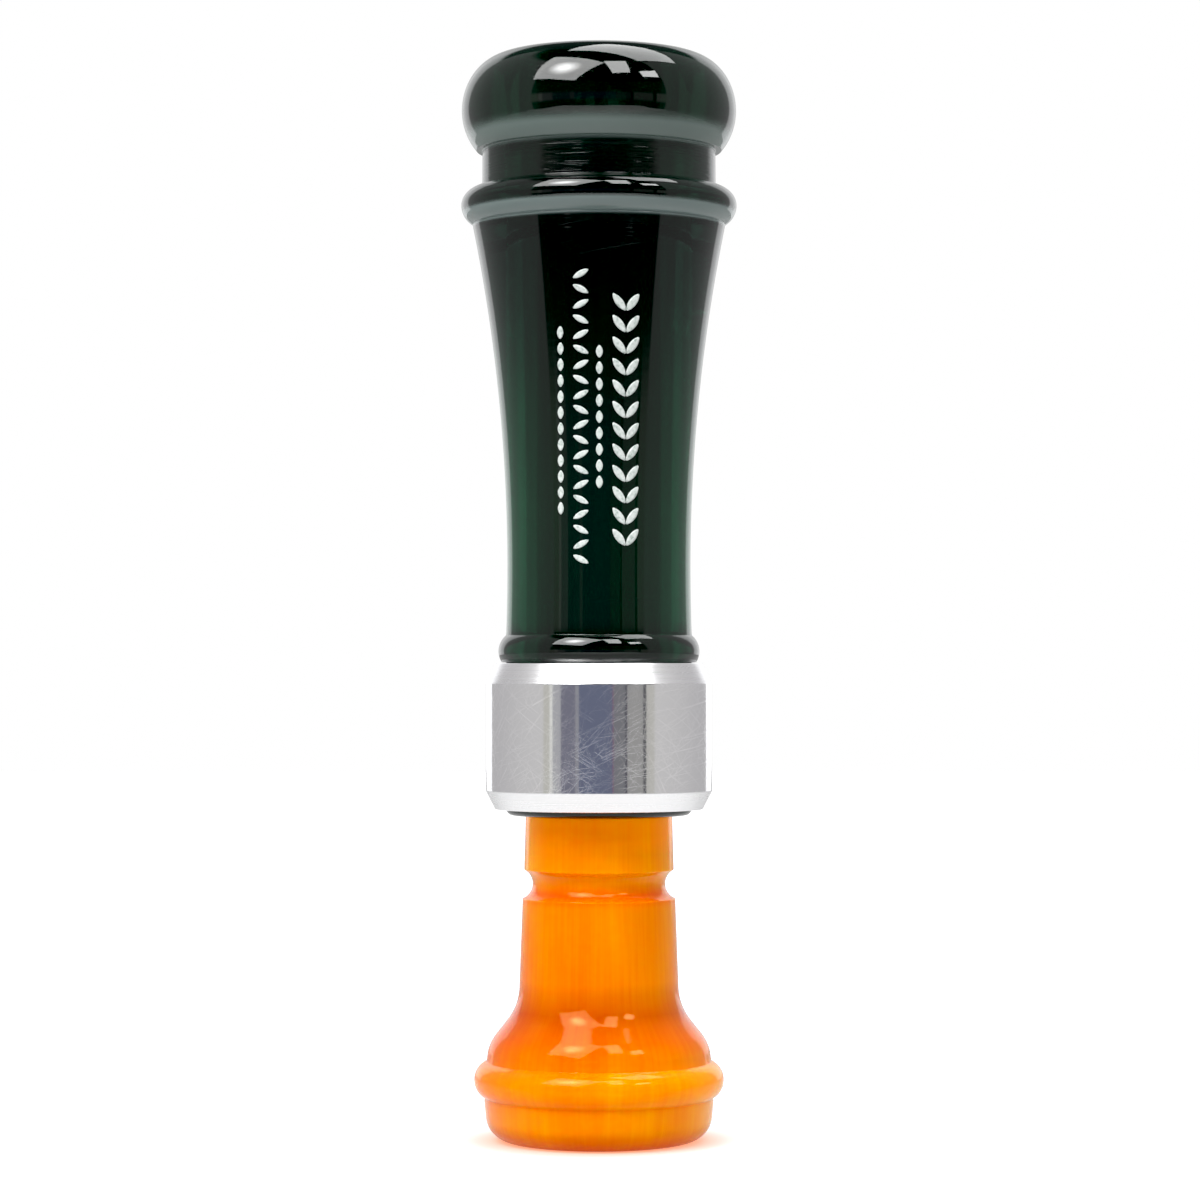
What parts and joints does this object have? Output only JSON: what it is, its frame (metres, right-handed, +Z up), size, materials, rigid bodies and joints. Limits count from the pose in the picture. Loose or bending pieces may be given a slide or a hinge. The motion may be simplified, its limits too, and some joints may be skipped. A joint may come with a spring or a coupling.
{
  "type": "duck call",
  "caption": "Turned duck call: flared acrylic barrel with rounded mouthpiece and metal band, on a removable insert with bell, O-rings, toneboard, cork wedge and flexing reed.",
  "frame": {"origin": "centre of the exhaust bell's end face, which the call stands on", "axes": "+Z up the call's axis to the mouthpiece; -Y the side that the toneboard and reed face; +X to the right seen from there"},
  "size_m": [0.0348, 0.0348, 0.137],
  "materials": {
    "barrel": "polished dark green acrylic",
    "band": "polished",
    "insert": "polished amber pearl acrylic",
    "o_rings": "matt black",
    "wedge": "sanded cork",
    "reed": "frosted clear film"
  },
  "bodies": {
    "insert": {"insert": "insert"},
    "o_rings": {"o_ring_lower": "o_rings", "o_ring_upper": "o_rings"},
    "barrel": {"barrel": "barrel", "band": "band"},
    "wedge": {"wedge": "wedge"},
    "reed": {"reed": "reed"}
  },
  "joints": [
    {"name": "barrel_twist", "type": "hinge", "parent": "insert", "child": "o_rings", "pos_m": [0, 0, 0.0409], "axis": [0, 0, 1], "continuous": true},
    {"name": "barrel_pull", "type": "slide", "parent": "o_rings", "child": "barrel", "axis": [0, 0, 1], "range_m": [0, 0.08]},
    {"name": "wedge_pull", "type": "slide", "parent": "insert", "child": "wedge", "axis": [0, 0, 1], "range_m": [0, 0.06]},
    {"name": "reed_flex", "type": "hinge", "parent": "wedge", "child": "reed", "pos_m": [0, -0.00311, 0.068], "axis": [1, 0, 0], "range_deg": [-1.5, 0.45], "stiffness_Nm_per_rad": 0.01, "deforming": ["reed"]}
  ]
}
